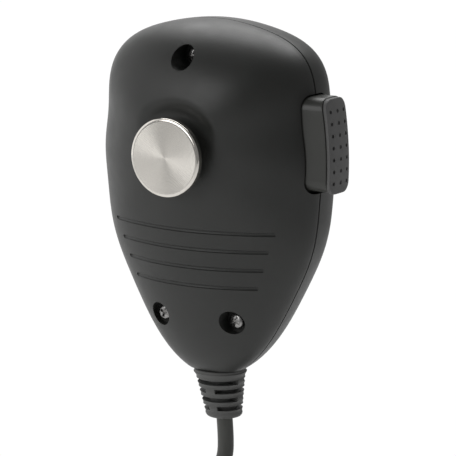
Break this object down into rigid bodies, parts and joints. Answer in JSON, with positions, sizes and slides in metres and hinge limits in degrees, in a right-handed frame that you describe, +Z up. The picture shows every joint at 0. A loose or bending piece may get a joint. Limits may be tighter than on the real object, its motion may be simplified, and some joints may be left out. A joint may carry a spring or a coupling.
{
  "type": "hand microphone",
  "caption": "Corded hand microphone with a side talk bar, a steel hang-up button on its back, a slotted strain relief and a round screw-on plug.",
  "frame": {"origin": "centre of the hang-up button's outer face, which the clip holds when the microphone hangs", "axes": "+Z up along the microphone, -Y out of its back through the hang-up button, +X towards the talk bar; the speaking side faces +Y"},
  "size_m": [0.0739, 0.0489, 0.2425],
  "materials": {
    "case_plastic": "satin",
    "button_steel": "turned",
    "screw_steel": "blackened",
    "zinc_steel": "plain",
    "talk_plastic": "satin",
    "talk_rubber": "matt",
    "boot_rubber": "matt",
    "cord_jacket": "satin",
    "tie_nylon": "satin",
    "board_green": "gloss",
    "black_plastic": "satin",
    "ivory_plastic": "satin",
    "capsule_metal": "plain",
    "holder_rubber": "matt",
    "felt": "felt",
    "wire_white": "satin",
    "wire_red": "satin",
    "wire_blue": "satin",
    "wire_yellow": "satin",
    "plug_metal": "nickel plated",
    "insulator_resin": "satin",
    "contact_gold": "plated"
  },
  "bodies": {
    "case": {"rear_shell": "case_plastic", "front_shell": "case_plastic", "hang_up_button": "button_steel", "hang_button_washer": "zinc_steel", "hang_button_screw": "zinc_steel", "case_screw_top": "screw_steel", "case_screw_lower_left": "screw_steel", "case_screw_lower_right": "screw_steel", "ptt_pivot_pin": "zinc_steel", "ptt_return_spring": "zinc_steel", "circuit_board": "board_green", "board_screw_1": "zinc_steel", "board_screw_2": "zinc_steel", "switch_body": "black_plastic", "capacitor": "black_plastic", "preamp_chip": "black_plastic", "mic_capsule": "capsule_metal", "capsule_holder": "holder_rubber", "grille_felt": "felt", "capsule_lead_1": "zinc_steel", "capsule_lead_2": "zinc_steel", "strain_relief": "boot_rubber", "cord_inner_end": "cord_jacket", "cord_anchor_tie": "tie_nylon", "wire_1": "wire_white", "wire_2": "wire_red", "wire_3": "wire_blue", "wire_4": "wire_yellow", "cord_drop": "cord_jacket", "cord_coil": "cord_jacket", "cord_tail": "cord_jacket", "coil_tie": "tie_nylon", "plug_bushing": "black_plastic", "plug_shell": "plug_metal", "plug_insulator": "insulator_resin", "plug_contact_1": "contact_gold", "plug_contact_2": "contact_gold", "plug_contact_3": "contact_gold", "plug_contact_4": "contact_gold", "plug_contact_5": "contact_gold", "plug_contact_6": "contact_gold", "plug_contact_7": "contact_gold", "plug_contact_8": "contact_gold"},
    "talk_bar": {"ptt_bar": "talk_plastic", "ptt_grip_pad": "talk_rubber"},
    "switch_plunger": {"switch_plunger": "ivory_plastic"},
    "locking_ring": {"plug_locking_ring": "plug_metal"}
  },
  "joints": [
    {"name": "talk_press", "type": "hinge", "parent": "case", "child": "talk_bar", "pos_m": [0.0256, 0.0241, 0.0124], "axis": [0, 1, 0], "range_deg": [0, 4.5], "stiffness_Nm_per_rad": 0.3, "springref_deg": -8.59, "deforming": ["ptt_return_spring"]},
    {"name": "plunger_travel", "type": "slide", "parent": "case", "child": "switch_plunger", "axis": [-1, 0, 0], "range_m": [0, 0.001]},
    {"name": "locking_ring_turn", "type": "hinge", "parent": "case", "child": "locking_ring", "pos_m": [0.03265, 0.03945, -0.2023], "axis": [0, 0, -1], "continuous": true}
  ],
  "couplings": [
    {"joint": "plunger_travel", "follows": "talk_press", "m_per_rad": 0.0115}
  ]
}
